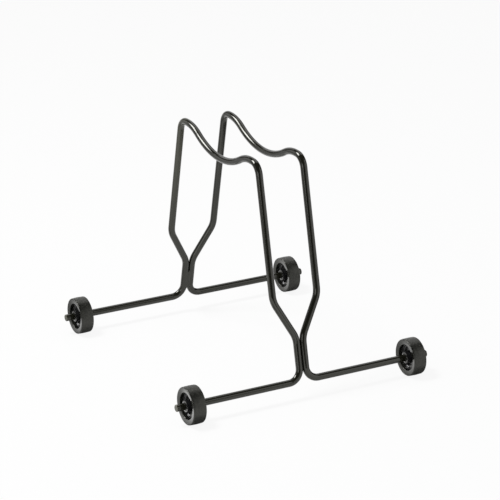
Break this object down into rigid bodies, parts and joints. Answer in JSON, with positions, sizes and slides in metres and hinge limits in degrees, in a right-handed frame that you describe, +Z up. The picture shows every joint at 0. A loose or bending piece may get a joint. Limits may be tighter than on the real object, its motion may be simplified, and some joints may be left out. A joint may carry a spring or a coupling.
{
  "type": "bicycle rack",
  "caption": "Rolling floor rack for one bicycle wheel: bent round-rod hoops welded at their necks, leaning ends that close into a V, and floor legs that end in small wheels.",
  "frame": {"origin": "on the floor, midway between the four wheels", "axes": "+Z up, +Y along the rack towards its rear, in the direction the bicycle wheel rolls, +X across it to the right; the pictured front is at -Y"},
  "size_m": [0.373, 0.3962, 0.314],
  "materials": {
    "frame_paint": "semi-gloss dark olive grey paint on bent steel rod",
    "tyre_rubber": "matte solid rubber with a fine mould texture",
    "core_plastic": "glossy black moulding",
    "spring_steel": "dull dark spring steel"
  },
  "bodies": {
    "frame": {"left_hoop": "frame_paint", "right_hoop": "frame_paint", "rear_weld": "frame_paint", "front_weld": "frame_paint", "rear_left_outer_retainer": "spring_steel", "rear_left_inner_retainer": "spring_steel", "rear_right_outer_retainer": "spring_steel", "rear_right_inner_retainer": "spring_steel", "front_left_outer_retainer": "spring_steel", "front_left_inner_retainer": "spring_steel", "front_right_outer_retainer": "spring_steel", "front_right_inner_retainer": "spring_steel"},
    "rear_left_wheel": {"rear_left_tyre": "tyre_rubber", "rear_left_core": "core_plastic"},
    "rear_right_wheel": {"rear_right_tyre": "tyre_rubber", "rear_right_core": "core_plastic"},
    "front_left_wheel": {"front_left_tyre": "tyre_rubber", "front_left_core": "core_plastic"},
    "front_right_wheel": {"front_right_tyre": "tyre_rubber", "front_right_core": "core_plastic"}
  },
  "joints": [
    {"name": "rear_left_wheel_spin", "type": "hinge", "parent": "frame", "child": "rear_left_wheel", "pos_m": [-0.16375, 0.1726, 0.0254], "axis": [1, 0, 0], "continuous": true},
    {"name": "rear_right_wheel_spin", "type": "hinge", "parent": "frame", "child": "rear_right_wheel", "pos_m": [0.16375, 0.1726, 0.0254], "axis": [1, 0, 0], "continuous": true},
    {"name": "front_left_wheel_spin", "type": "hinge", "parent": "frame", "child": "front_left_wheel", "pos_m": [-0.16375, -0.1726, 0.0254], "axis": [1, 0, 0], "continuous": true},
    {"name": "front_right_wheel_spin", "type": "hinge", "parent": "frame", "child": "front_right_wheel", "pos_m": [0.16375, -0.1726, 0.0254], "axis": [1, 0, 0], "continuous": true}
  ]
}
